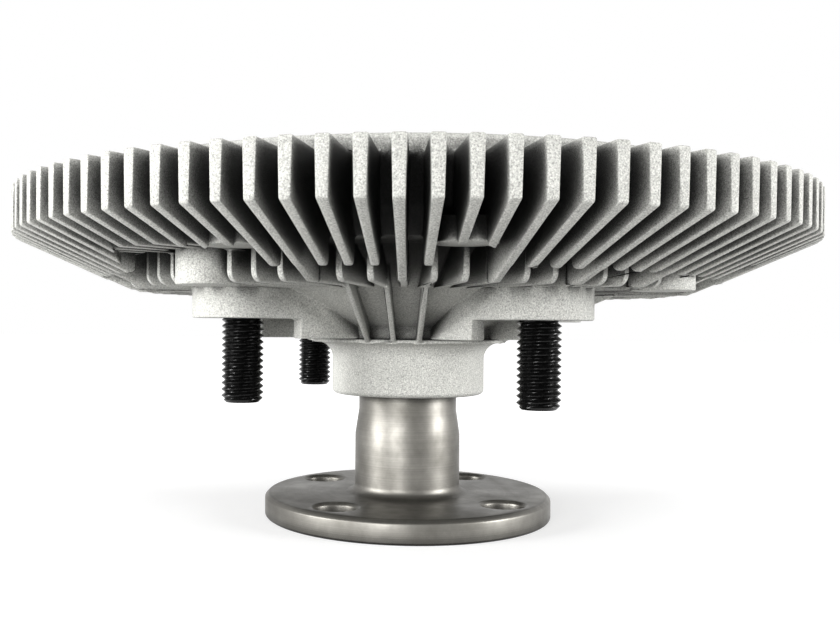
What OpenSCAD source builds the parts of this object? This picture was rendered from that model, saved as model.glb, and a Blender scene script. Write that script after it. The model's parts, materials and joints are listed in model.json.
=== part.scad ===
// Viscous fan clutch: a flanged shaft carries a finned aluminium housing on a sealed bearing.
// Origin at the middle of the flange's lower face, +Z along the shaft towards the front cover.

/* [Shaft and flange] */
// Diameter of the bolt flange
flange_d = 76; // [70:1:90]
// Thickness of the bolt flange
flange_t = 6; // [5:0.5:9]
// Edge chamfer of the flange
flange_chamfer = 1; // [0.4:0.1:1.5]
// Bolt circle of the flange
flange_pcd = 59; // [54:0.5:62]
// Diameter of the flange's bolt holes
flange_hole_d = 10.5; // [8:0.1:11]
// Width of the bevel round each bolt hole
flange_hole_bevel = 0.8; // [0.2:0.1:1]
// Number of flange bolts, and of fan studs
bolt_count = 4; // [4:1:4]
// Turn of the flange against the housing at rest
flange_clock = 17.4; // [-40:0.1:40]
// Diameter of the pilot recess under the flange
pilot_d = 25; // [20:0.5:30]
// Depth of the pilot recess
pilot_depth = 4; // [2:0.5:5]
// Diameter of the shaft above the flange
shaft_d = 28; // [26:0.5:32]
// Diameter of the shaft's neck under the hub
neck_d = 26.1; // [22:0.1:27]
// Height at which the shaft starts to taper
taper_low = 21.5; // [16:0.5:24]
// Height at which the taper ends
taper_high = 28; // [25:0.5:30]
// Fillet between shaft and flange
shaft_fillet = 2.5; // [1:0.1:4]

/* [Bearing] */
// Bore of the bearing
bearing_bore = 17; // [15:0.5:18]
// Outside diameter of the bearing
bearing_od = 35; // [34:0.5:36]
// Width of the bearing
bearing_w = 14; // [12:0.5:15]
// Height of the bearing's lower face
bearing_z = 36; // [35:0.5:37]
// Wall of each bearing race
race_wall = 2.2; // [1.8:0.1:2.4]
// Diameter of the balls
ball_d = 6.6; // [6:0.1:7]
// Number of balls
ball_count = 9; // [7:1:10]
// Running gap round the balls
ball_gap = 0.1; // [0.05:0.01:0.15]
// Thickness of the bearing seals
seal_t = 0.8; // [0.5:0.1:1.2]
// Gap between seal and inner race
seal_gap = 0.3; // [0.2:0.05:0.5]

/* [Hub and cone] */
// Outside diameter of the bearing hub
hub_d = 40.6; // [40:0.1:43]
// Height of the hub's lower face
hub_z = 32.3; // [31:0.1:33]
// Opening in the hub's lower face
hub_opening_d = 30; // [28:0.5:31]
// Outside diameter of the ledge on top of the hub
ledge_d = 51.4; // [50:0.2:54]
// Height of the ledge's lower face
ledge_z = 46; // [45:0.1:46.5]
// Diameter of the cone's foot
cone_foot_d = 49; // [46:0.5:50]
// Height at which the cone starts
cone_low = 50; // [49:0.1:51]
// Diameter of the cone's wide end
cone_wide_d = 124; // [118:1:130]
// Height of the housing's floor, outside
floor_z = 67; // [66:0.1:67.5]
// Thickness of the housing's floor
floor_t = 4; // [3.5:0.1:4.5]
// Thickness of the ribs on the cone
rib_t = 1.2; // [1:0.1:1.6]
// Distance between neighbouring ribs on the cone
rib_pitch = 6.3; // [5.8:0.1:6.8]
// Angle from rib to rib, as they fan out up the cone
rib_fan = 4.3; // [3:0.1:5]
// Angle of the middle rib against the radius
rib_lean = 6.2; // [0:0.1:8]
// Radius where the ribs run under the inner fins
rib_top_r = 54; // [50:0.5:56]

/* [Fan ears] */
// Bolt circle of the fan studs
stud_pcd = 98.5; // [96:0.5:101]
// Diameter of the fan studs
stud_d = 10; // [8:0.5:10]
// Length of a stud below the ear
stud_reach = 20; // [15:0.5:22]
// Depth of a stud inside the ear
stud_depth = 10; // [8:0.5:10.5]
// Bevel at the stud's free end
stud_chamfer = 1; // [0.6:0.1:1.4]
// How far the pressed part of a stud stands out past its thread
stud_press = 0.3; // [0.2:0.05:0.5]
// Wall of the boss around a pressed stud
stud_boss_wall = 4; // [3:0.1:4.5]
// Height of the ears' fan seat
seat_z = 51.8; // [51:0.1:52.5]
// Width of an ear
ear_w = 24; // [22:0.5:25]
// Radius at which the fan's register ends
register_r = 40; // [39:0.5:41]
// Height of the lower edge of the ear's two webs
web_z = 47.1; // [46.6:0.1:48]
// Thickness of the ear's webs
web_t = 4; // [3:0.1:5]
// Radius at which a web's side starts to bend towards the hub
web_bend_r = 28.4; // [27:0.1:31]
// Angle of that bend
web_bend = 17; // [10:0.5:20]
// Lean of the bent side
web_lean = 10; // [5:0.5:12]

/* [Fins] */
// Diameter over the outer fins
fin_d = 200; // [196:1:206]
// Number of outer fins, four for each long one
outer_fins = 100; // [80:20:100]
// Number of inner fins, three for each long one
inner_fins = 75; // [60:15:75]
// Angle of one long fin
fin_clock = -82.56; // [-90:0.01:-75]
// Height of the outer fins' upper edge
fin_top = 81.4; // [81:0.1:82.5]
// Height of the lower end of an outer fin's upright edge
fin_kink = 70.8; // [69:0.1:72]
// Radius of the outer fins' inner tips
tip_r = 78.4; // [77.5:0.1:79]
// Height of the outer fins' inner tips
tip_z = 61.4; // [60.5:0.1:62]
// Round of the outer fins' inner tips
tip_round = 1.5; // [1:0.1:2]
// Radius of the inner fins
inner_fin_r = 73; // [72:0.1:73.5]
// Height of the inner fins' lower edge
inner_fin_z = 58.8; // [58:0.1:59.5]
// Round of the inner fins' lower corner
inner_round = 2.5; // [1:0.1:3]
// Outer fin thickness at the upper edge
fin_t_top = 2.7; // [2.4:0.1:2.9]
// Thickness of the inner fins
inner_fin_t = 1.4; // [1.2:0.1:1.4]
// Outer fin thickness at the lowest edge
fin_t_low = 1.5; // [1.2:0.1:1.8]
// Diameter of the round pads between the outer fins
pad_d = 12.6; // [11:0.1:13]
// Radius at which these pads sit
pad_r = 80; // [79.5:0.1:81]
// Angle between a pad and the middle between two ears
pad_angle = 15.7; // [14:0.1:18]
// Height of the pads' lower face
pad_z = 65.3; // [64.5:0.1:66]
// Diameter of the round bosses between the inner fins
boss_d = 13.6; // [12:0.1:14]
// Radius at which these bosses sit
boss_r = 70; // [69:0.1:70.5]
// Angle between a boss and the middle between two ears
boss_angle = 28.6; // [27:0.1:30]
// How far these bosses reach below the inner fins
boss_drop = 0.3; // [0.1:0.1:1]
// Radius of the balancing cut in the outer fins around one boss
balance_r = 19; // [16:0.5:20]
// Height of that cut
balance_z = 65.5; // [64:0.1:66]

/* [Chamber and cover] */
// Outside diameter of the housing's rim
rim_d = 168; // [167:0.5:170]
// Height of the rolled rim
rim_top = 84.8; // [84.6:0.1:85.5]
// Diameter of the working chamber
chamber_d = 151; // [150.4:0.2:151.6]
// Height of the ledge that the cover sits on
cover_z = 81; // [80.8:0.1:81.5]
// Thickness of the cover's edge
cover_edge_t = 2.8; // [2.4:0.1:3]
// Diameter of the cover
cover_d = 161; // [160.6:0.2:161.4]
// Reach of the rolled rim over the cover
rim_lip = 2; // [1:0.1:2.4]
// Height of the cover's plate
plate_top = 84.4; // [84:0.1:85]
// Diameter of the cover's dome
dome_d = 100; // [98:0.5:102]
// Height of the cover's dome
dome_top = 91.3; // [90.5:0.1:93]
// Wall of the dome
dome_wall = 3.5; // [3:0.1:4]
// Width of the ledge that carries the divider plate
divider_ledge = 5; // [4:0.1:6]
// Number of fins on the cover
cover_fins = 40; // [24:4:40]
// Thickness of the cover's fins
cover_fin_t = 2; // [1.6:0.1:2.4]
// Section of the cover's rubber ring
cover_seal_d = 1.8; // [1.6:0.1:1.9]
// Radius of the cover's rubber ring
cover_seal_r = 77.9; // [77.7:0.1:78.1]

/* [Rotor and valve] */
// Diameter of the rotor
rotor_d = 148; // [146:0.5:149]
// Height of the rotor's lower face
rotor_z = 72.5; // [72.3:0.1:72.8]
// Thickness of the rotor
rotor_t = 7; // [6.6:0.1:7.2]
// Diameter of the rotor's hub
rotor_hub_d = 27; // [24:0.5:29]
// Depth of the ring grooves
groove_depth = 2.8; // [2.4:0.1:2.9]
// Distance from ring to ring
ring_pitch = 5; // [4.6:0.1:5.2]
// Thickness of each ring
ring_t = 2; // [1.6:0.1:2.2]
// Number of rings on each face
ring_count = 3; // [2:1:3]
// Height of the rings on housing and cover above the chamber's faces
ring_reach = 3.4; // [2.6:0.1:3.6]
// Thickness of the lock ring on the shaft's end
lock_t = 1.2; // [1:0.1:1.4]
// Diameter of the divider plate
divider_d = 98; // [97:0.5:98.4]
// Thickness of the divider plate
divider_t = 1; // [0.8:0.1:1.2]
// Diameter of the valve pin
pin_d = 8; // [6:0.5:8]
// Running gap between valve pin and cover
pin_gap = 0.05; // [0.03:0.01:0.08]
// How far the valve pin stands out above the coil
pin_over = 0.6; // [0.4:0.1:1.5]
// Thickness of the valve arm
arm_t = 0.8; // [0.6:0.1:1]
// Gap between valve arm and divider plate
arm_gap = 0.3; // [0.2:0.05:0.4]
// Distance from the divider plate's rim to the middle of a port
port_inset = 13; // [11:0.5:16]
// Diameter of the rivets in the divider plate
rivet_d = 2.4; // [2:0.1:2.8]
// Depth of the rivets in the cover
rivet_hold = 2.4; // [1.8:0.1:2.8]
// Diameter of the rivet heads
rivet_head_d = 4; // [3.6:0.1:4.4]
// Thickness of the rivet heads
rivet_head_t = 0.7; // [0.5:0.1:0.8]
// Length of the wiper block
wiper_l = 11; // [9:0.5:13]
// Gap between the dome and the thermostat coil
coil_lift = 2.3; // [1.6:0.1:3]
// Width of the thermostat coil's strip
coil_w = 4.6; // [4:0.1:5]
// Thickness of the coil's strip
coil_t = 0.8; // [0.6:0.1:1]
// Turns of the coil
coil_turns = 5; // [4:1:6]
// Outer radius of the coil
coil_r = 19; // [17:0.5:21]
// Gap on each side of the coil's outer end in its post
anchor_gap = 0.4; // [0.35:0.05:0.5]

/* [Hidden] */
$fn = 96;
eps = 0.01;
quarter = 360 / bolt_count;
aluminium = "gainsboro";
steel = "dimgray";
bright_steel = "silver";

// Bearing: the balls run midway between the two races.
bearing_top = bearing_z + bearing_w;
bearing_mid = bearing_z + bearing_w / 2;
inner_race_r = bearing_bore / 2 + race_wall;
outer_race_r = bearing_od / 2 - race_wall;
ball_track_r = (inner_race_r + outer_race_r) / 2;
shaft_shoulder_z = bearing_z - 1.5;

// Chamber faces and the rings that mesh with the rotor's grooves.
floor_top = floor_z + floor_t;
rotor_top = rotor_z + rotor_t;
ring_outer_r = rotor_d / 2 - 0.6;
function groove_r(i) = ring_outer_r - ring_pitch * (i + 1);
function mesh_r(i) = groove_r(i) + ring_pitch / 2 - ring_t;
floor_inner_r = mesh_r(ring_count - 1) - 1.5;
rotor_recess_r = groove_r(ring_count);
cone_slope = (floor_z - cone_low) / (cone_wide_d / 2 - cone_foot_d / 2);
inner_foot_r = bearing_od / 2 + 2;

// The outer fins' lower edge runs from the tip's round to the kink.
fin_slope = (fin_kink - tip_z) / (fin_d / 2 - tip_r);
fin_angle = atan(fin_slope);

// Front parts.
dome_inside = dome_top - dome_wall;
reservoir_d = divider_d - 2 * divider_ledge;
port_r = divider_d / 2 - port_inset;
pin_boss_r = pin_d / 2 + 5;
pin_boss_low = dome_inside - 3;
coil_z = dome_top + coil_lift;
pin_top = coil_z + coil_w + pin_over;
arm_z = cover_z + divider_t + arm_gap;

// One drafted blade along +X, from radius r0 to r1 and from height z0 to z1.
module blade(r0, r1, z0, z1, t0, t1) {
    translate([r0, 0, 0])
        rotate([90, 0, 90])
            linear_extrude(r1 - r0)
                polygon([[-t0 / 2, z0], [t0 / 2, z0], [t1 / 2, z1], [-t1 / 2, z1]]);
}

// A fan of drafted blades at a list of angles, trimmed by the profile given as children.
module fin_ring(angles, r0, r1, z0, z1) {
    draft = (fin_t_top - fin_t_low) / (fin_top - inner_fin_z);
    intersection() {
        for (a = angles)
            rotate([0, 0, a])
                blade(r0, r1, z0, z1, fin_t_low + draft * (z0 - inner_fin_z),
                      fin_t_low + draft * (z1 - inner_fin_z));
        rotate_extrude()
            children();
    }
}

// Outline of a wheel with straight spokes of thickness t, from radius r0 to r1.
function spoke_corner(a, r, half) = r * [cos(a + asin(half / r)), sin(a + asin(half / r))];
module spoke_wheel(angles, r0, r1, t) {
    polygon([
        for (a = angles, corner = [[r0, -1], [r1, -1], [r1, 1], [r0, 1]])
            spoke_corner(a, corner[0], corner[1] * t / 2)
    ]);
}

// Section of an outer fin, with its round inner tip and sloping lower edge.
module outer_fin_section() {
    centre = [tip_r, tip_z + tip_round];
    low = centre + tip_round * [sin(fin_angle), -cos(fin_angle)];
    translate(centre)
        circle(tip_round, $fn = 24);
    polygon([
        [tip_r - tip_round, centre[1]], low, [fin_d / 2, fin_kink], [fin_d / 2, fin_top],
        [rim_d / 2 - 2, fin_top], [tip_r - tip_round, floor_z + 2]
    ]);
}

// Section of an inner fin: flat below, round at the outer corner, sunk into the cone above.
function inner_foot() = cone_foot_d / 2 + (inner_fin_z - cone_low) / cone_slope;
module inner_fin_section() {
    foot = inner_foot();
    translate([inner_fin_r - inner_round, inner_fin_z + inner_round])
        circle(inner_round, $fn = 24);
    polygon([
        [foot - 2, inner_fin_z], [inner_fin_r - inner_round, inner_fin_z],
        [inner_fin_r - inner_round, inner_fin_z + inner_round],
        [inner_fin_r, inner_fin_z + inner_round], [inner_fin_r, floor_z + 2],
        [cone_wide_d / 2, floor_z + 2], [foot - 2, inner_fin_z + 1]
    ]);
}

// Section that joins an inner and an outer fin into a long one.
module long_fin_section() {
    low_r = tip_r - (tip_z - inner_fin_z) / fin_slope;
    polygon([
        [inner_fin_r - 4, inner_fin_z], [low_r, inner_fin_z], [tip_r + 1, tip_z + fin_slope],
        [tip_r + 1, floor_z + 2], [inner_fin_r - 4, floor_z + 2]
    ]);
}

module inner_fin_wheel() {
    step = 360 / inner_fins;
    angles = [for (i = [0 : inner_fins - 1]) fin_clock + i * step];
    hub_sink = 0.9;
    intersection() {
        translate([0, 0, inner_fin_z - 1])
            linear_extrude(floor_z + 4 - inner_fin_z)
                spoke_wheel(angles, inner_foot() - hub_sink, inner_fin_r + 1, inner_fin_t);
        rotate_extrude()
            inner_fin_section();
    }
}

// All outer fins, and the joins that make every fourth one long.
module outer_fin_rings() {
    step = 360 / outer_fins;
    angles = [for (i = [0 : outer_fins - 1]) fin_clock + i * step];
    long_angles = [for (i = [0 : 4 : outer_fins - 1]) angles[i]];
    fin_ring(angles, tip_r - 5, fin_d / 2 + 1, inner_fin_z, fin_top)
        outer_fin_section();
    fin_ring(long_angles, inner_fin_r - 5, tip_r + 2, inner_fin_z, floor_z + 2)
        long_fin_section();
}

// Revolved shell: hub, ledge, cone, floor, rim and the rings on the chamber's floor.
module housing_shell() {
    hub_r = hub_d / 2;
    fillet = min(ledge_d / 2 - hub_r - 1, 4.2);
    hub_round = 0.8;
    lip_z = cover_z + cover_edge_t;
    rim_draft = 2;
    floor_bevel = 5;
    rotate_extrude()
        difference() {
            union() {
                polygon([
                    [hub_opening_d / 2, hub_z], [hub_r - hub_round, hub_z], [hub_r, hub_z + hub_round],
                    [hub_r, ledge_z], [ledge_d / 2, ledge_z], [ledge_d / 2, ledge_z + 1],
                    [cone_foot_d / 2, ledge_z + 1], [cone_foot_d / 2, cone_low],
                    [cone_wide_d / 2, floor_z], [rim_d / 2 - rim_draft - floor_bevel, floor_z],
                    [rim_d / 2 - rim_draft, floor_z + floor_bevel],
                    [rim_d / 2, fin_top], [rim_d / 2, rim_top - 0.8], [rim_d / 2 - 0.8, rim_top],
                    [cover_d / 2 - rim_lip, rim_top], [cover_d / 2 - rim_lip, lip_z],
                    [cover_d / 2, lip_z], [cover_d / 2, cover_z], [chamber_d / 2, cover_z],
                    [chamber_d / 2, floor_top], [floor_inner_r, floor_top],
                    [inner_foot_r, cone_low + 3], [inner_foot_r, bearing_top],
                    [bearing_od / 2, bearing_top], [bearing_od / 2, bearing_z],
                    [hub_opening_d / 2, bearing_z]
                ]);
                translate([hub_r - eps, ledge_z - fillet])
                    square([fillet + eps, fillet + eps]);
            }
            translate([hub_r + fillet, ledge_z - fillet])
                circle(fillet, $fn = 48);
            cover_seal_groove();
        }
    mesh_rings(floor_top - eps, ring_reach + eps);
}

// Groove in the cover's ledge for the rubber ring.
module cover_seal_groove() {
    translate([cover_seal_r - cover_seal_d / 2 - 0.1, cover_z - cover_seal_d])
        square([cover_seal_d + 0.2, cover_seal_d + 1]);
}

// Rings that stand midway in the rotor's grooves, from height z up by h.
module mesh_rings(z, h) {
    for (i = [0 : ring_count - 1])
        translate([0, 0, z])
            rotate_extrude()
                translate([mesh_r(i), 0])
                    square([ring_t, h]);
}

// The web on the +Y side of an ear, bent towards the hub at its inner end.
module ear_web() {
    start_r = hub_d / 2 - 2;
    web_h = inner_fin_z - web_z;
    difference() {
        translate([0, ear_w / 2, 0])
            rotate([90, 0, 0])
                linear_extrude(web_t)
                    polygon([
                        [start_r, web_z], [register_r, web_z], [register_r, inner_fin_z + 0.4],
                        [register_r - 6, inner_fin_z + 0.4], [start_r, cone_low + 1]
                    ]);
        translate([web_bend_r, ear_w / 2, web_z])
            rotate([web_lean, 0, web_bend])
                translate([-web_bend_r, 0, -web_h])
                    cube([2 * web_bend_r, ear_w, 3 * web_h]);
    }
}

// One ear at +X: seat block, two webs to the hub and the boss above the stud.
module ear() {
    stud_r = stud_pcd / 2;
    translate([0, 0, seat_z])
        linear_extrude(inner_fin_z - seat_z + 0.4) {
            translate([stud_r, 0])
                circle(ear_w / 2);
            translate([register_r - 2, -ear_w / 2])
                square([stud_r - register_r + 2, ear_w]);
        }
    for (side = [0, 1])
        mirror([0, side, 0])
            ear_web();
    translate([stud_r, 0, seat_z + 1])
        cylinder(h = stud_depth + 1, d = stud_d + 2 * stud_boss_wall);
}

// Three ribs that fan out up the cone, about +X.
module cone_ribs() {
    foot_r = cone_foot_d / 2;
    run = rib_top_r - foot_r;
    for (i = [-1 : 1])
        translate([foot_r, i * rib_pitch, 0])
            rotate([90, 0, rib_lean + i * rib_fan])
                translate([0, 0, -rib_t / 2])
                    linear_extrude(rib_t)
                        polygon([
                            [-2, ledge_z + 0.3], [ledge_d / 2 - foot_r, ledge_z + 0.3],
                            [run, inner_fin_z - 0.2], [run, cone_low + run * cone_slope + 1],
                            [-2, cone_low + 1]
                        ]);
}

// Holes for the studs, open towards the fan seat.
module stud_holes() {
    for (k = [0 : bolt_count - 1])
        rotate([0, 0, (k + 0.5) * quarter])
            translate([stud_pcd / 2, 0, seat_z - 1])
                cylinder(h = stud_depth + 1, d = stud_d + 2 * stud_press);
}

// Round pads between the outer fins, from height z up by h.
module pads(z, h) {
    for (k = [0 : bolt_count - 1], side = [-1, 1])
        rotate([0, 0, k * quarter + side * pad_angle])
            translate([pad_r, 0, z])
                cylinder(h = h, d = pad_d);
}

// What is milled off the outer fins around one boss, to balance the housing.
module balance_cut() {
    rotate([0, 0, -quarter - boss_angle])
        translate([boss_r, 0, inner_fin_z - 5])
            cylinder(h = balance_z - inner_fin_z + 5, r = balance_r);
}

// Everything but the fins: shell, ears, ribs, bosses and pads.
module housing_core() {
    difference() {
        union() {
            housing_shell();
            for (k = [0 : bolt_count - 1]) {
                rotate([0, 0, (k + 0.5) * quarter])
                    ear();
                rotate([0, 0, k * quarter])
                    cone_ribs();
                rotate([0, 0, k * quarter - boss_angle])
                    translate([boss_r, 0, inner_fin_z - boss_drop])
                        cylinder(h = floor_z + 2.4 - inner_fin_z, d = boss_d);
            }
            pads(pad_z, floor_z + 3 - pad_z);
        }
        stud_holes();
    }
}

module rear_housing() {
    color(aluminium) {
        housing_core();
        difference() {
            inner_fin_wheel();
            stud_holes();
        }
        difference() {
            outer_fin_rings();
            pads(inner_fin_z - 5, pad_z - inner_fin_z + 5);
            balance_cut();
        }
    }
}

module front_cover() {
    color(aluminium) {
        difference() {
            rotate_extrude()
                polygon([
                    [pin_d / 2 + pin_gap, pin_boss_low], [pin_boss_r, pin_boss_low],
                    [pin_boss_r, dome_inside], [reservoir_d / 2 - 3, dome_inside],
                    [reservoir_d / 2, dome_inside - 3], [reservoir_d / 2, cover_z + divider_t],
                    [divider_d / 2 + 0.2, cover_z + divider_t], [divider_d / 2 + 0.2, cover_z],
                    [cover_d / 2, cover_z], [cover_d / 2, cover_z + cover_edge_t],
                    [cover_d / 2 - rim_lip - 1, cover_z + cover_edge_t],
                    [cover_d / 2 - rim_lip - 1.6, plate_top], [dome_d / 2 + 1, plate_top],
                    [dome_d / 2, plate_top + 1], [dome_d / 2 - 1, dome_top - 2],
                    [dome_d / 2 - 3, dome_top], [pin_boss_r + 1, dome_top], [pin_boss_r, dome_top + 1.2],
                    [pin_d / 2 + pin_gap, dome_top + 1.2]
                ]);
            for (a = rivet_angles())
                rotate([0, 0, a])
                    translate([rivet_r(), 0, cover_z - 1])
                        cylinder(h = rivet_length() + 1, d = rivet_d, $fn = 32);
            translate([coil_r, 0, dome_top - anchor_depth()])
                cylinder(h = anchor_depth() + 1, d = anchor_pin_d(), $fn = 32);
        }
        translate([0, 0, cover_z - ring_reach])
            mesh_rings(0, ring_reach + eps);
        cover_fin_ring();
    }
}

// Radial fins on the cover's front, falling towards the rim.
module cover_fin_ring() {
    inner_r = dome_d / 2 - 2;
    outer_r = cover_d / 2 - rim_lip - 2;
    crest_z = dome_top - 2.8;
    for (i = [0 : cover_fins - 1])
        rotate([0, 0, (i + 0.5) * 360 / cover_fins])
            rotate([90, 0, 0])
                translate([0, 0, -cover_fin_t / 2])
                    linear_extrude(cover_fin_t)
                        polygon([
                            [inner_r, plate_top - 1], [outer_r, plate_top - 1], [outer_r, plate_top + 0.2],
                            [dome_d / 2 + 2, crest_z], [inner_r, crest_z]
                        ]);
}

module cover_seal() {
    color("black")
        translate([0, 0, cover_z - cover_seal_d / 2])
            rotate_extrude()
                translate([cover_seal_r, 0])
                    circle(d = cover_seal_d, $fn = 32);
}

module fan_studs() {
    shank_r = stud_d / 2 + stud_press;
    color("black")
        for (k = [0 : bolt_count - 1])
            rotate([0, 0, (k + 0.5) * quarter])
                translate([stud_pcd / 2, 0, seat_z])
                    rotate_extrude()
                        polygon([
                            [0, -stud_reach], [stud_d / 2 - stud_chamfer, -stud_reach],
                            [stud_d / 2, stud_chamfer - stud_reach], [stud_d / 2, 0],
                            [shank_r, 0], [shank_r, stud_depth], [0, stud_depth]
                        ]);
}

module drive_shaft() {
    flange_r = flange_d / 2;
    shaft_r = shaft_d / 2;
    groove_r = bearing_bore / 2 - 0.8;
    end_z = rotor_top;
    color(steel)
        difference() {
            rotate_extrude()
                difference() {
                    union() {
                        polygon([
                            [0, pilot_depth], [pilot_d / 2, pilot_depth], [pilot_d / 2, 0],
                            [flange_r - flange_chamfer / 2, 0], [flange_r, flange_chamfer / 2],
                            [flange_r, flange_t - flange_chamfer], [flange_r - flange_chamfer, flange_t],
                            [shaft_r, flange_t], [shaft_r, taper_low], [neck_d / 2, taper_high],
                            [neck_d / 2, shaft_shoulder_z], [inner_race_r - 0.2, shaft_shoulder_z],
                            [inner_race_r - 0.2, bearing_z], [bearing_bore / 2, bearing_z],
                            [bearing_bore / 2, rotor_hub_top()], [groove_r, rotor_hub_top()],
                            [groove_r, rotor_hub_top() + lock_t],
                            [bearing_bore / 2, rotor_hub_top() + lock_t],
                            [bearing_bore / 2 - 0.6, end_z], [0, end_z]
                        ]);
                        translate([shaft_r - eps, flange_t - eps])
                            square(shaft_fillet + eps);
                    }
                    translate([shaft_r + shaft_fillet, flange_t + shaft_fillet])
                        circle(shaft_fillet, $fn = 48);
                }
            for (k = [0 : bolt_count - 1])
                rotate([0, 0, (k + 0.5) * quarter + flange_clock])
                    translate([flange_pcd / 2, 0, 0])
                        flange_hole();
        }
}

// Through hole with a bevel at its upper end.
module flange_hole() {
    hole_r = flange_hole_d / 2;
    b = flange_hole_bevel;
    rotate_extrude()
        polygon([
            [0, -1], [hole_r, -1], [hole_r, flange_t - b],
            [hole_r + b + 1, flange_t + 1], [0, flange_t + 1]
        ]);
}

// One race: a ring with the ball track cut into it.
module race(r0, r1) {
    translate([0, 0, bearing_mid])
        rotate_extrude()
            difference() {
                translate([r0, -bearing_w / 2])
                    square([r1 - r0, bearing_w]);
                translate([ball_track_r, 0])
                    circle(ball_d / 2 + ball_gap, $fn = 48);
            }
}

module bearing_outer_race() {
    color(bright_steel)
        race(outer_race_r, bearing_od / 2);
}

module bearing_inner_race() {
    color(bright_steel)
        race(bearing_bore / 2, inner_race_r);
}

module each_ball() {
    for (i = [0 : ball_count - 1])
        rotate([0, 0, i * 360 / ball_count])
            translate([ball_track_r, 0, bearing_mid])
                children();
}

module bearing_balls() {
    color(bright_steel)
        each_ball()
            sphere(d = ball_d, $fn = 48);
}

module bearing_cage() {
    cage_t = 1.4;
    cage_h = ball_d + 2;
    color("goldenrod")
        difference() {
            translate([0, 0, bearing_mid - cage_h / 2])
                rotate_extrude()
                    translate([ball_track_r - cage_t / 2, 0])
                        square([cage_t, cage_h]);
            each_ball()
                sphere(d = ball_d + 2 * ball_gap, $fn = 48);
        }
}

// Seal washer held in the outer race, with its lower face at height z.
module bearing_seal(z) {
    color("black")
        translate([0, 0, z])
            rotate_extrude()
                translate([inner_race_r + seal_gap, 0])
                    square([outer_race_r - inner_race_r - seal_gap, seal_t]);
}

module bearing_seal_lower() {
    bearing_seal(bearing_z + 0.3);
}

module bearing_seal_upper() {
    bearing_seal(bearing_top - 0.3 - seal_t);
}

function rotor_hub_top() = rotor_top - lock_t - 1.2;

module rotor() {
    hole_count = 6;
    hole_d = 8;
    hole_r = (rotor_hub_d / 2 + rotor_recess_r) / 2;
    color(aluminium)
        difference() {
            rotate_extrude()
                difference() {
                    polygon([
                        [bearing_bore / 2, bearing_top], [inner_race_r, bearing_top],
                        [rotor_hub_d / 2, bearing_top + 4], [rotor_hub_d / 2, rotor_z + 1],
                        [rotor_recess_r, rotor_z + 1],
                        [rotor_recess_r, rotor_z],
                        [rotor_d / 2, rotor_z], [rotor_d / 2, rotor_top],
                        [rotor_recess_r, rotor_top],
                        [rotor_recess_r, rotor_hub_top()],
                        [bearing_bore / 2, rotor_hub_top()]
                    ]);
                    for (i = [0 : ring_count - 1], z = [rotor_z - 1, rotor_top - groove_depth])
                        translate([groove_r(i), z])
                            square([ring_pitch - ring_t, groove_depth + 1]);
                }
            for (i = [0 : hole_count - 1])
                rotate([0, 0, i * 360 / hole_count])
                    translate([hole_r, 0, rotor_z - 1])
                        cylinder(h = rotor_t + 2, d = hole_d);
        }
}

module rotor_lock_ring() {
    ring_w = 2.6;
    color(steel)
        translate([0, 0, rotor_hub_top()])
            rotate_extrude()
                translate([bearing_bore / 2 - 0.8, 0])
                    square([ring_w, lock_t]);
}

function rivet_angles() = [for (k = [0 : 3]) 45 + 90 * k];
function rivet_r() = (divider_d - divider_ledge) / 2;
function rivet_length() = divider_t + rivet_hold;

module divider_plate() {
    port_d = 5;
    color(bright_steel)
        translate([0, 0, cover_z])
            difference() {
                cylinder(h = divider_t, d = divider_d);
                for (a = [0, 180])
                    rotate([0, 0, a])
                        translate([port_r, 0, -1])
                            cylinder(h = divider_t + 2, d = port_d, $fn = 48);
                for (a = rivet_angles())
                    rotate([0, 0, a])
                        translate([rivet_r(), 0, -1])
                            cylinder(h = divider_t + 2, d = rivet_d, $fn = 32);
            }
}

module divider_rivets() {
    head_r = rivet_head_d / 2;
    color(bright_steel)
        for (a = rivet_angles())
            rotate([0, 0, a])
                translate([rivet_r(), 0, cover_z])
                    rotate_extrude($fn = 32)
                        polygon([
                            [0, -rivet_head_t], [head_r - rivet_head_t / 2, -rivet_head_t], [head_r, 0],
                            [rivet_d / 2, 0], [rivet_d / 2, rivet_length()], [0, rivet_length()]
                        ]);
}

// Short dam under the divider plate, just behind one port.
module wiper_block() {
    wiper_t = 0.9;
    wiper_w = 4;
    color(bright_steel)
        rotate([0, 0, 12])
            translate([port_r - wiper_l / 2, -wiper_w / 2, cover_z - wiper_t])
                cube([wiper_l, wiper_w, wiper_t]);
}

// Lever with two round ends that cover the ports of the divider plate.
module valve_arm() {
    hub_r = pin_d / 2 + 2;
    end_r = 4.5;
    color(bright_steel)
        translate([0, 0, arm_z])
            linear_extrude(arm_t) {
                circle(hub_r);
                for (a = [0, 180])
                    rotate([0, 0, a]) {
                        translate([0, -end_r / 2])
                            square([port_r, end_r]);
                        translate([port_r, 0])
                            circle(end_r);
                    }
            }
}

// Valve pin: foot on the arm, collar under the boss, ring groove and a slot for the coil.
module valve_shaft() {
    pin_r = pin_d / 2;
    foot_z = arm_z + arm_t;
    slot_t = coil_t + 0.2;
    color(bright_steel)
        difference() {
            rotate_extrude()
                polygon([
                    [0, foot_z], [pin_r + 1.5, foot_z], [pin_r + 1.5, pin_boss_low - 0.3],
                    [pin_r, pin_boss_low - 0.3], [pin_r, pin_seal_z() - pin_seal_d() / 2],
                    [pin_groove_r(), pin_seal_z() - pin_seal_d() / 2],
                    [pin_groove_r(), pin_seal_z() + pin_seal_d() / 2],
                    [pin_r, pin_seal_z() + pin_seal_d() / 2], [pin_r, pin_top - 0.6],
                    [pin_r - 0.6, pin_top], [0, pin_top]
                ]);
            translate([-pin_r - 1, -slot_t / 2, coil_z - 0.4])
                cube([pin_d + 2, slot_t, pin_top]);
        }
}

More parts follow.
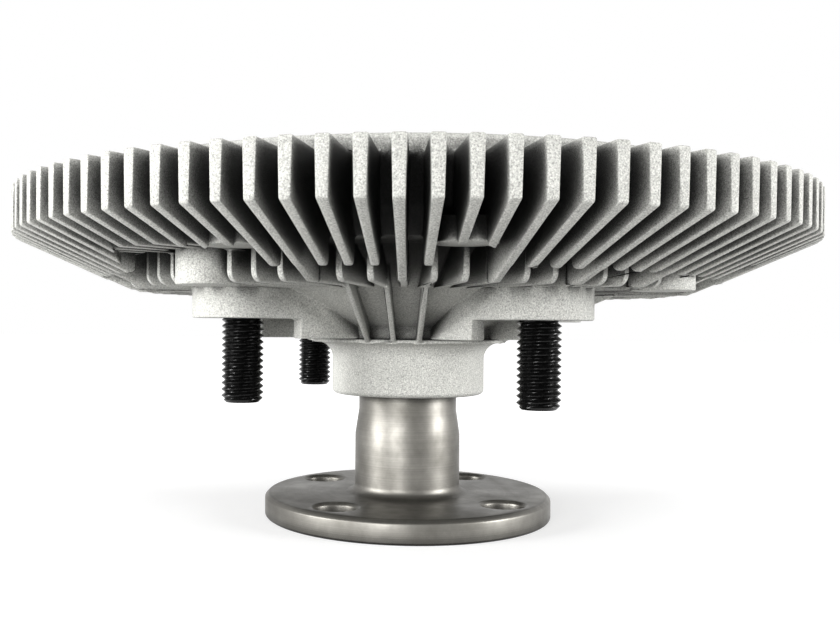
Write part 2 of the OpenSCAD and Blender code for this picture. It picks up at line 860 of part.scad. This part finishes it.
function pin_seal_d() = 1.3;
function pin_seal_z() = (pin_boss_low + dome_top) / 2;
function pin_groove_r() = pin_d / 2 + pin_gap - pin_seal_d();

module valve_shaft_seal() {
    squeeze = 0.04;
    color("black")
        translate([0, 0, pin_seal_z()])
            rotate_extrude()
                translate([pin_groove_r() + pin_seal_d() / 2 - squeeze / 2, 0])
                    circle(d = pin_seal_d() - squeeze, $fn = 32);
}

// Points of a spiral from the pin out to the anchor on +X, moved outwards by offset.
coil_steps = coil_turns * 30;
coil_start_r = pin_d / 2 + 1.6;
function spiral(offset) = [
    for (i = [0 : coil_steps])
        let (r = coil_start_r + (coil_r - coil_start_r) * i / coil_steps + offset)
        r * [cos(i * 12), sin(i * 12)]
];

function reversed(list) = [for (i = [len(list) - 1 : -1 : 0]) list[i]];

// Spiral strip with a straight inner end that lies in the pin's slot.
module bimetal_coil() {
    color("peru")
        translate([0, 0, coil_z])
            linear_extrude(coil_w) {
                polygon(concat(spiral(coil_t / 2), reversed(spiral(-coil_t / 2))));
                translate([-pin_d / 4, -coil_t / 2])
                    square([coil_start_r + pin_d / 4, coil_t]);
            }
}

function anchor_depth() = 2;
function anchor_pin_d() = 3.6;

// Post on the dome, slotted for the coil's outer end.
module bimetal_anchor() {
    slot_t = coil_t + 2 * anchor_gap;
    color(bright_steel)
        difference() {
            translate([coil_r, 0, dome_top - anchor_depth()])
                cylinder(h = coil_z + coil_w - dome_top + anchor_depth(), d = anchor_pin_d(), $fn = 32);
            translate([coil_r - slot_t / 2, -anchor_pin_d(), coil_z])
                cube([slot_t, anchor_pin_d() + 0.2, coil_w + 1]);
        }
}

rear_housing();
front_cover();
cover_seal();
fan_studs();
drive_shaft();
bearing_outer_race();
bearing_inner_race();
bearing_balls();
bearing_cage();
bearing_seal_lower();
bearing_seal_upper();
rotor();
rotor_lock_ring();
divider_plate();
divider_rivets();
wiper_block();
valve_arm();
valve_shaft();
valve_shaft_seal();
bimetal_coil();
bimetal_anchor();
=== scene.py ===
"""Looks of the viscous fan clutch: cast aluminium, turned steel, blackened studs, studio light."""

import json
import math

import bpy
from mathutils import Euler, Matrix, Vector


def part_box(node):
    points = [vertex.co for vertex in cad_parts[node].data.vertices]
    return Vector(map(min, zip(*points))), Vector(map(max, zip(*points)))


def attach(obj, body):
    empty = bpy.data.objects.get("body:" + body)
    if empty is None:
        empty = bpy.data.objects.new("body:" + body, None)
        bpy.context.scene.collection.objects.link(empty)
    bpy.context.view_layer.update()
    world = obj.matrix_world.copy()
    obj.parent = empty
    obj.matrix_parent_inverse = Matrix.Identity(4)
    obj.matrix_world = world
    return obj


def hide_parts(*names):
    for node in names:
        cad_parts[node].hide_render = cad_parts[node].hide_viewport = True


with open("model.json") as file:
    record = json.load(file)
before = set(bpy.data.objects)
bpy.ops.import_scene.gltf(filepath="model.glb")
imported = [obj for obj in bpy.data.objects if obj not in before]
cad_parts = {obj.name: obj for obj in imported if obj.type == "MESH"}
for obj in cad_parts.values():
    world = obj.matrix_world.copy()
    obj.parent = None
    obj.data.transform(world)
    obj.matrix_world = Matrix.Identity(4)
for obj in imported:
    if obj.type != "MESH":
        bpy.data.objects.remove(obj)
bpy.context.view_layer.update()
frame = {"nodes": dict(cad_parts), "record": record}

MM = 0.001

# Camera, fitted to the fins and the flange of the photograph
IMAGE_W = 840
IMAGE_H = 630
FOCAL_PX = 901.4
PRINCIPAL_U = 364.7
PRINCIPAL_V = 325.2
CAMERA_DISTANCE = 243.56 * MM
CAMERA_HEIGHT = 50.39 * MM
CAMERA_AZIMUTH = math.radians(8.4)
CAMERA_YAW = 0.0483
CAMERA_ROLL = 0.0091
SENSOR_MM = 36.0

# Rounding of edges, and the angles from which an edge is rounded or stays sharp in shading
EDGE_ROUNDS = {"rear_housing": 0.4 * MM, "front_cover": 0.3 * MM, "drive_shaft": 0.25 * MM}
ROUND_ANGLE = math.radians(32.0)
SHARP_ANGLE = math.radians(40.0)
WELD_DISTANCE = 0.002 * MM

# Pieces whose flat faces are joined before their edges are rounded.
# The cover isn't one of them, because the joined face of its ring would close over the hole.
FLATTENED = ("rear_housing", "drive_shaft")
FLAT_ANGLE = math.radians(0.5)

# Zones of the casting where the painted shade is weaker: from full to no effect, and how much
CONE_RADIUS = (46.0 * MM, 58.0 * MM)
CONE_LIFT = 0.22
EARS_HEIGHT = (60.0 * MM, 66.0 * MM)
EARS_LIFT = 0.26
COVER_RADIUS = (76.5 * MM, 77.5 * MM)
COVER_HEIGHT = (80.0 * MM, 78.0 * MM)
COVER_LIFT = 0.3

# Threads of the fan studs: the flank's slope, less the crest's share, leaves a small flat on the crest
THREAD_PITCH = 1.5 * MM
THREAD_DEPTH = 0.85 * MM
THREAD_CREST = 0.1
FLANK_SLOPE = 1.15
END_CHAMFER = 1.1 * MM
STUD_SIDES = 48
ROWS_PER_PITCH = 8

# Floor: its size, its grey, and how its glow rises to white with the distance from the object, in metres
FLOOR_SIZE = 6.0
FLOOR_GREY = (0.45, 0.45, 0.45, 1.0)
GLOW_NEAR = 0.04
GLOW_FAR = 0.22
GLOW_LOW = 0.6

# Share of the white background that lights the object
WORLD_FILL = 0.08

# Lamps: metres to the right, towards the camera and up, then the lamp's size in metres and its power in watts
LAMPS = {
    "side_left": (-0.8, 0.36, 0.22, 0.4, 10.0),
    "side_right": (0.85, 0.25, 0.22, 0.4, 8.5),
    "front": (-0.35, 0.85, 0.14, 0.4, 5.5),
    "top": (0.0, -0.2, 0.9, 0.8, 1.5),
}
LAMP_TARGET_HEIGHT = 0.06


def new_material(name):
    """An empty material, with its node tree and its shader."""
    material = bpy.data.materials.new(name)
    material.use_nodes = True
    tree = material.node_tree
    shader = tree.nodes["Principled BSDF"]
    return material, tree, shader


def add(tree, kind, **values):
    """Adds a node, with its properties by attribute name and its inputs by socket name."""
    node = tree.nodes.new(kind)
    for key, value in values.items():
        if hasattr(node, key):
            setattr(node, key, value)
        else:
            node.inputs[key.replace("_", " ")].default_value = value
    return node


def noise(tree, coords, scale, detail, roughness):
    """Noise factor over the given coordinates; scale is in cells per metre."""
    node = add(tree, "ShaderNodeTexNoise", Scale=scale, Detail=detail, Roughness=roughness)
    tree.links.new(coords, node.inputs["Vector"])
    return node.outputs["Fac"]


def ramp(tree, value, stops):
    """Colour ramp through (position, grey or colour) stops."""
    node = tree.nodes.new("ShaderNodeValToRGB")
    elements = node.color_ramp.elements
    while len(elements) < len(stops):
        elements.new(0.5)
    for element, (position, colour) in zip(elements, stops):
        element.position = position
        if isinstance(colour, (int, float)):
            colour = (colour, colour, colour)
        element.color = (*colour, 1.0)
    tree.links.new(value, node.inputs["Fac"])
    return node.outputs["Color"]


def math_node(tree, operation, a, b):
    """Math of two sockets or numbers."""
    node = add(tree, "ShaderNodeMath", operation=operation)
    for socket, value in zip(node.inputs, (a, b)):
        if isinstance(value, (int, float)):
            socket.default_value = value
        else:
            tree.links.new(value, socket)
    return node.outputs["Value"]


def mix_colour(tree, factor, a, b, blend="MIX"):
    """Mix of two colour sockets or tuples by a factor socket or number."""
    node = add(tree, "ShaderNodeMix", data_type="RGBA", blend_type=blend)
    # Inputs 6 and 7 and output 2 are the node's colour sockets
    for socket, value in ((node.inputs[0], factor), (node.inputs[6], a), (node.inputs[7], b)):
        if hasattr(value, "links"):
            tree.links.new(value, socket)
        elif isinstance(value, tuple):
            socket.default_value = (*value, 1.0)
        else:
            socket.default_value = value
    return node.outputs[2]


def bump(tree, relief, strength, distance):
    """Bump normal from a relief socket."""
    node = add(tree, "ShaderNodeBump", Strength=strength, Distance=distance)
    tree.links.new(relief, node.inputs["Height"])
    return node.outputs["Normal"]


def connect(tree, shader, colour, metallic, roughness, normal):
    """Links colour, roughness and normal sockets to a shader, and sets how metallic it is."""
    tree.links.new(colour, shader.inputs["Base Color"])
    shader.inputs["Metallic"].default_value = metallic
    tree.links.new(roughness, shader.inputs["Roughness"])
    tree.links.new(normal, shader.inputs["Normal"])


def object_coords(tree):
    """Coordinates of a piece in its own frame, in metres."""
    return tree.nodes.new("ShaderNodeTexCoord").outputs["Object"]


def axis_distance(tree, coords):
    """Distance from the shaft's axis, in metres."""
    flat = add(tree, "ShaderNodeVectorMath", operation="MULTIPLY")
    tree.links.new(coords, flat.inputs[0])
    flat.inputs[1].default_value = (1.0, 1.0, 0.0)
    length = add(tree, "ShaderNodeVectorMath", operation="LENGTH")
    tree.links.new(flat.outputs["Vector"], length.inputs[0])
    return length.outputs["Value"]


def height(tree, coords):
    """Height above the flange's lower face, in metres."""
    split = tree.nodes.new("ShaderNodeSeparateXYZ")
    tree.links.new(coords, split.inputs["Vector"])
    return split.outputs["Z"]


def zone(tree, value, span, level):
    """The given level at the span's first value, falling to 0 at its second."""
    stops = [(span[0], level), (span[1], 0.0)]
    return ramp(tree, value, sorted(stops))


def painted_recess_shade(tree, colour, distance, stops, lift=0.0):
    """Paints shade into a colour where the surface lies deep between others; lift weakens it."""
    node = add(tree, "ShaderNodeAmbientOcclusion", samples=8, Distance=distance)
    shade = ramp(tree, math_node(tree, "ADD", node.outputs["AO"], lift), stops)
    return mix_colour(tree, 1.0, colour, shade, "MULTIPLY")


def rubbed_and_highlit_edges(tree, radius):
    """1 along edges, 0 on flat faces, from how far a rounded normal turns there; it marks bare rubbed edges
    and a painted edge highlight.
    """
    rounded = add(tree, "ShaderNodeBevel", samples=6, Radius=radius)
    geometry = tree.nodes.new("ShaderNodeNewGeometry")
    turn = add(tree, "ShaderNodeVectorMath", operation="DOT_PRODUCT")
    tree.links.new(rounded.outputs["Normal"], turn.inputs[0])
    tree.links.new(geometry.outputs["Normal"], turn.inputs[1])
    return ramp(tree, turn.outputs["Value"], [(0.88, 1.0), (0.985, 0.0)])


def painted_shade_lift(tree, coords):
    """How much the painted shade is weakened on the cone, the ears and the cover's channels, against the gaps
    between the fins.
    """
    radius = axis_distance(tree, coords)
    level = height(tree, coords)
    cone = zone(tree, radius, CONE_RADIUS, CONE_LIFT)
    ears = zone(tree, level, EARS_HEIGHT, EARS_LIFT)
    below = math_node(tree, "MAXIMUM", cone, ears)
    cover = zone(tree, radius, COVER_RADIUS, COVER_LIFT)
    front = zone(tree, level, COVER_HEIGHT, 1.0)
    return math_node(tree, "MAXIMUM", below, math_node(tree, "MULTIPLY", cover, front))


def cast_aluminium():
    """Blasted die casting: fine grain, faint clouds, soft sheen, and painted shade between the fins."""
    material, tree, shader = new_material("cast_aluminium")
    coords = object_coords(tree)
    grain = noise(tree, coords, 4200.0, 3.0, 0.7)
    clouds = noise(tree, coords, 70.0, 4.0, 0.6)
    speckle = ramp(tree, noise(tree, coords, 3200.0, 3.0, 0.7), [(0.3, 0.25), (0.5, 0.56), (0.68, 0.8)])
    tone = ramp(tree, clouds, [(0.3, (0.86, 0.86, 0.81)), (0.7, (1.0, 1.0, 0.94))])
    colour = mix_colour(tree, 1.0, speckle, tone, "MULTIPLY")
    # Painted shade: the colour darkens nearly to black deep in the gaps between the fins.
    painted_shade_stops = [(0.24, 0.015), (0.48, 0.06), (0.66, 0.5), (0.84, 1.0)]
    colour = painted_recess_shade(tree, colour, 16.0 * MM, painted_shade_stops, painted_shade_lift(tree, coords))
    roughness = ramp(tree, grain, [(0.3, 0.62), (0.7, 0.48)])
    connect(tree, shader, colour, 0.2, roughness, bump(tree, grain, 0.7, 0.3 * MM))
    shader.inputs["Specular IOR Level"].default_value = 0.25
    return material


def turned_steel():
    """Dull steel with rings from the lathe, warm clouds, painted shade in its hollows, and edges rubbed bare
    with a painted highlight.
    """
    material, tree, shader = new_material("turned_steel")
    coords = object_coords(tree)
    rings = tree.nodes.new("ShaderNodeCombineXYZ")
    tree.links.new(axis_distance(tree, coords), rings.inputs["X"])
    tree.links.new(height(tree, coords), rings.inputs["Y"])
    lathe = noise(tree, rings.outputs["Vector"], 3600.0, 4.0, 0.7)
    clouds = noise(tree, coords, 90.0, 5.0, 0.6)
    dark, middle, light = (0.115, 0.11, 0.098), (0.17, 0.164, 0.149), (0.23, 0.222, 0.202)
    colour = ramp(tree, clouds, [(0.3, dark), (0.55, middle), (0.75, light)])
    lines = ramp(tree, lathe, [(0.35, 0.86), (0.65, 1.06)])
    colour = mix_colour(tree, 1.0, colour, lines, "MULTIPLY")
    # Painted shade in the holes and hollows of the steel.
    colour = painted_recess_shade(tree, colour, 6.0 * MM, [(0.3, 0.12), (0.75, 1.0)])
    # Edges lighter as rubbed bare steel and as a painted edge highlight, broken up by nicks.
    nicks = ramp(tree, noise(tree, coords, 420.0, 4.0, 0.7), [(0.42, 0.15), (0.62, 1.0)])
    edge_wear_and_highlight = math_node(tree, "MULTIPLY", rubbed_and_highlit_edges(tree, 0.5 * MM), nicks)
    colour = mix_colour(tree, edge_wear_and_highlight, colour, (0.5, 0.48, 0.45))
    roughness = ramp(tree, clouds, [(0.3, 0.5), (0.7, 0.38)])
    connect(tree, shader, colour, 1.0, roughness, bump(tree, lathe, 0.3, 0.06 * MM))
    return material


def black_steel():
    """Black oxide, slightly oily."""
    material, tree, shader = new_material("black_steel")
    coords = object_coords(tree)
    fine = noise(tree, coords, 900.0, 4.0, 0.6)
    colour = ramp(tree, fine, [(0.3, (0.002, 0.002, 0.002)), (0.7, (0.009, 0.009, 0.009))])
    roughness = ramp(tree, fine, [(0.3, 0.3), (0.7, 0.2)])
    connect(tree, shader, colour, 0.6, roughness, bump(tree, fine, 0.15, 0.05 * MM))
    return material


def plain_finish(name, dark, light, roughness, metallic=1.0, grain=1200.0):
    """Plain metal or rubber with small variation of colour and gloss."""
    material, tree, shader = new_material(name)
    coords = object_coords(tree)
    fine = noise(tree, coords, grain, 3.0, 0.6)
    colour = ramp(tree, fine, [(0.3, dark), (0.7, light)])
    gloss = ramp(tree, fine, [(0.3, roughness), (0.7, roughness - 0.06)])
    connect(tree, shader, colour, metallic, gloss, bump(tree, fine, 0.12, 0.05 * MM))
    return material


def build_materials():
    """One material for each slot of the record."""
    return {
        "cast_aluminium": cast_aluminium(),
        "turned_steel": turned_steel(),
        "black_steel": black_steel(),
        "bright_steel": plain_finish("bright_steel", (0.55, 0.55, 0.55), (0.68, 0.68, 0.67), 0.42),
        "brass": plain_finish("brass", (0.55, 0.4, 0.17), (0.68, 0.52, 0.26), 0.34),
        "rubber": plain_finish("rubber", (0.012, 0.012, 0.012), (0.03, 0.03, 0.03), 0.7, 0.0, 700.0),
        "bimetal": plain_finish("bimetal", (0.42, 0.35, 0.26), (0.56, 0.48, 0.38), 0.38),
    }


def smooth_group():
    """Geometry nodes that shade smooth, except along edges sharper than SHARP_ANGLE."""
    group = bpy.data.node_groups.new("smooth_by_angle", "GeometryNodeTree")
    group.interface.new_socket("Geometry", in_out="INPUT", socket_type="NodeSocketGeometry")
    group.interface.new_socket("Geometry", in_out="OUTPUT", socket_type="NodeSocketGeometry")
    nodes, links = group.nodes, group.links
    source = nodes.new("NodeGroupInput")
    result = nodes.new("NodeGroupOutput")
    faces = nodes.new("GeometryNodeSetShadeSmooth")
    edges = nodes.new("GeometryNodeSetShadeSmooth")
    edges.domain = "EDGE"
    edges.inputs["Shade Smooth"].default_value = False
    angle = nodes.new("GeometryNodeInputMeshEdgeAngle")
    sharp = nodes.new("FunctionNodeCompare")
    sharp.inputs[1].default_value = SHARP_ANGLE
    links.new(source.outputs[0], faces.inputs["Geometry"])
    links.new(faces.outputs[0], edges.inputs["Geometry"])
    links.new(angle.outputs["Unsigned Angle"], sharp.inputs[0])
    links.new(sharp.outputs["Result"], edges.inputs["Selection"])
    links.new(edges.outputs[0], result.inputs[0])
    return group


def soften(node, width, flat):
    """Rounds the edges of a casting or turned piece, as modifiers."""
    weld = node.modifiers.new("weld", "WELD")
    weld.merge_threshold = WELD_DISTANCE
    if flat:
        flatten = node.modifiers.new("flatten", "DECIMATE")
        flatten.decimate_type = "DISSOLVE"
        flatten.angle_limit = FLAT_ANGLE
    bevel = node.modifiers.new("edge_round", "BEVEL")
    bevel.width = width
    bevel.segments = 2
    bevel.limit_method = "ANGLE"
    bevel.angle_limit = ROUND_ANGLE
    bevel.use_clamp_overlap = False
    bevel.loop_slide = False


def dress_nodes(materials):
    """Gives every node its slot's material and smooth shading, and some of them round edges."""
    slots = {part["node"]: part["material_slot"] for part in frame["record"]["subparts"]}
    smooth = smooth_group()
    for name, node in frame["nodes"].items():
        node.data.materials.clear()
        node.data.materials.append(materials[slots[name]])
        if name in EDGE_ROUNDS:
            soften(node, EDGE_ROUNDS[name], name in FLATTENED)
        shade = node.modifiers.new("smooth", "NODES")
        shade.node_group = smooth


def thread_radius(phase, outer):
    """Radius of a sharp thread at a phase of its pitch: root at 0, crest at a half."""
    flank = abs(2.0 * (phase % 1.0) - 1.0)
    return outer - THREAD_DEPTH * min(max(FLANK_SLOPE * flank - THREAD_CREST, 0.0), 1.0)


def stud_mesh(outer, shank, low, seat, high):
    """Vertices and faces of one stud on the Z axis: chamfered end, thread, wider pressed shank."""
    rows = int((seat - low) / THREAD_PITCH * ROWS_PER_PITCH)
    heights = [low + (seat - low) * i / rows for i in range(rows + 1)] + [seat, high]
    verts = []
    for row, z in enumerate(heights):
        for side in range(STUD_SIDES):
            turn = side / STUD_SIDES
            r = thread_radius((z - low) / THREAD_PITCH - turn, outer)
            if z < low + END_CHAMFER:
                r = min(r, outer - END_CHAMFER + (z - low))
            if row > rows:
                r = shank
            angle = turn * math.tau
            verts.append((r * math.cos(angle), r * math.sin(angle), z))
    faces = []
    for row in range(len(heights) - 1):
        for side in range(STUD_SIDES):
            a = row * STUD_SIDES + side
            b = row * STUD_SIDES + (side + 1) % STUD_SIDES
            faces.append((a, b, b + STUD_SIDES, a + STUD_SIDES))
    faces.append(tuple(reversed(range(STUD_SIDES))))
    last = (len(heights) - 1) * STUD_SIDES
    faces.append(tuple(range(last, last + STUD_SIDES)))
    return verts, faces


def threaded_studs(material):
    """The four fan studs with real threads, in place of the plain solids."""
    mounts = {mount["name"]: mount for mount in frame["record"]["mounts"]}
    dims = mounts["fan_studs"]["dims"]
    circle = dims["pcd_mm"] * MM / 2
    outer = dims["stud_r_mm"] * MM
    seat = mounts["fan_studs"]["pos_m"][2]
    low_corner, high_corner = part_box("fan_studs")
    low, high = low_corner[2], high_corner[2]
    count = dims["count"]
    shank = high_corner[0] - circle * math.cos(math.pi / count)
    stud_verts, stud_faces = stud_mesh(outer, shank, low, seat, high)
    verts, faces = [], []
    for k in range(count):
        angle = math.tau * (k + 0.5) / count
        offset = Vector((circle * math.cos(angle), circle * math.sin(angle), 0.0))
        start = len(verts)
        verts += [tuple(Vector(v) + offset) for v in stud_verts]
        faces += [tuple(i + start for i in face) for face in stud_faces]
    mesh = bpy.data.meshes.new("threaded_studs")
    mesh.from_pydata(verts, [], faces)
    mesh.materials.append(material)
    piece = bpy.data.objects.new("threaded_studs", mesh)
    bpy.context.scene.collection.objects.link(piece)
    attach(piece, "housing")
    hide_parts("fan_studs")


def floor_plane(material):
    """Square floor at the height of the flange's lower face."""
    mesh = bpy.data.meshes.new("floor")
    h = FLOOR_SIZE / 2
    mesh.from_pydata([(-h, -h, 0), (h, -h, 0), (h, h, 0), (-h, h, 0)], [], [(0, 1, 2, 3)])
    mesh.materials.append(material)
    floor = bpy.data.objects.new("floor", mesh)
    bpy.context.scene.collection.objects.link(floor)


def background_rays(tree):
    """1 for camera, glossy and transmission rays, 0 for light on the object."""
    path = tree.nodes.new("ShaderNodeLightPath")
    seen = math_node(tree, "MAXIMUM", path.outputs["Is Camera Ray"], path.outputs["Is Glossy Ray"])
    return math_node(tree, "MAXIMUM", seen, path.outputs["Is Transmission Ray"])


def build_floor():
    """Pale floor that keeps the object's shadow and runs into the white background."""
    material, tree, shader = new_material("floor")
    shader.inputs["Base Color"].default_value = FLOOR_GREY
    shader.inputs["Roughness"].default_value = 1.0
    glow = add(tree, "ShaderNodeEmission")
    length = add(tree, "ShaderNodeVectorMath", operation="LENGTH")
    tree.links.new(object_coords(tree), length.inputs[0])
    distances = {"From_Min": GLOW_NEAR, "From_Max": GLOW_FAR}
    level = add(tree, "ShaderNodeMapRange", **distances, To_Min=GLOW_LOW, To_Max=1.0)
    tree.links.new(length.outputs["Value"], level.inputs["Value"])
    seen = math_node(tree, "MULTIPLY", background_rays(tree), level.outputs["Result"])
    tree.links.new(seen, glow.inputs["Strength"])
    both = tree.nodes.new("ShaderNodeAddShader")
    tree.links.new(shader.outputs[0], both.inputs[0])
    tree.links.new(glow.outputs[0], both.inputs[1])
    tree.links.new(both.outputs[0], tree.nodes["Material Output"].inputs["Surface"])
    floor_plane(material)


def build_world():
    """White background, with a softer level of light on the object."""
    world = bpy.data.worlds.new("studio")
    bpy.context.scene.world = world
    world.use_nodes = True
    tree = world.node_tree
    background = tree.nodes["Background"]
    background.inputs["Color"].default_value = (1.0, 1.0, 1.0, 1.0)
    level = math_node(tree, "MULTIPLY_ADD", background_rays(tree), 1.0 - WORLD_FILL)
    level.node.inputs[2].default_value = WORLD_FILL
    tree.links.new(level, background.inputs["Strength"])


def area_light(name, place, target, size, power):
    """Round area lamp that faces its target."""
    light = bpy.data.lights.new(name, "AREA")
    light.shape = "DISK"
    light.size = size
    light.energy = power
    lamp = bpy.data.objects.new(name, light)
    lamp.location = place
    lamp.rotation_euler = (target - place).to_track_quat("-Z", "Y").to_euler()
    bpy.context.scene.collection.objects.link(lamp)


def view_point(right, towards, up):
    """A point given from the camera's side: metres to the right, towards the camera and up."""
    turn = Matrix.Rotation(CAMERA_AZIMUTH, 3, "Z")
    return turn @ Vector((right, -towards, up))


def build_lights():
    """The studio's lamps, all aimed at the middle of the object."""
    middle = view_point(0.0, 0.0, LAMP_TARGET_HEIGHT)
    for name, (right, towards, up, size, power) in LAMPS.items():
        area_light(name, view_point(right, towards, up), middle, size, power)


def build_camera():
    """Camera with the photograph's distance, height, yaw, roll and lens."""
    camera = bpy.data.cameras.new("camera")
    camera.sensor_width = SENSOR_MM
    camera.lens = SENSOR_MM * FOCAL_PX / IMAGE_W
    camera.shift_x = (IMAGE_W / 2 - PRINCIPAL_U) / IMAGE_W
    camera.shift_y = (PRINCIPAL_V - IMAGE_H / 2) / IMAGE_W
    camera.clip_start = 10.0 * MM
    holder = bpy.data.objects.new("camera", camera)
    holder.location = view_point(0.0, CAMERA_DISTANCE, CAMERA_HEIGHT)
    level = Euler((math.pi / 2, 0.0, CAMERA_AZIMUTH + CAMERA_YAW)).to_matrix()
    holder.rotation_euler = (level @ Matrix.Rotation(CAMERA_ROLL, 3, "Z")).to_euler()
    bpy.context.scene.collection.objects.link(holder)
    bpy.context.scene.camera = holder


bpy.context.scene.view_settings.view_transform = "Standard"
build_camera()
materials = build_materials()
dress_nodes(materials)
threaded_studs(materials["black_steel"])
build_floor()
build_world()
build_lights()
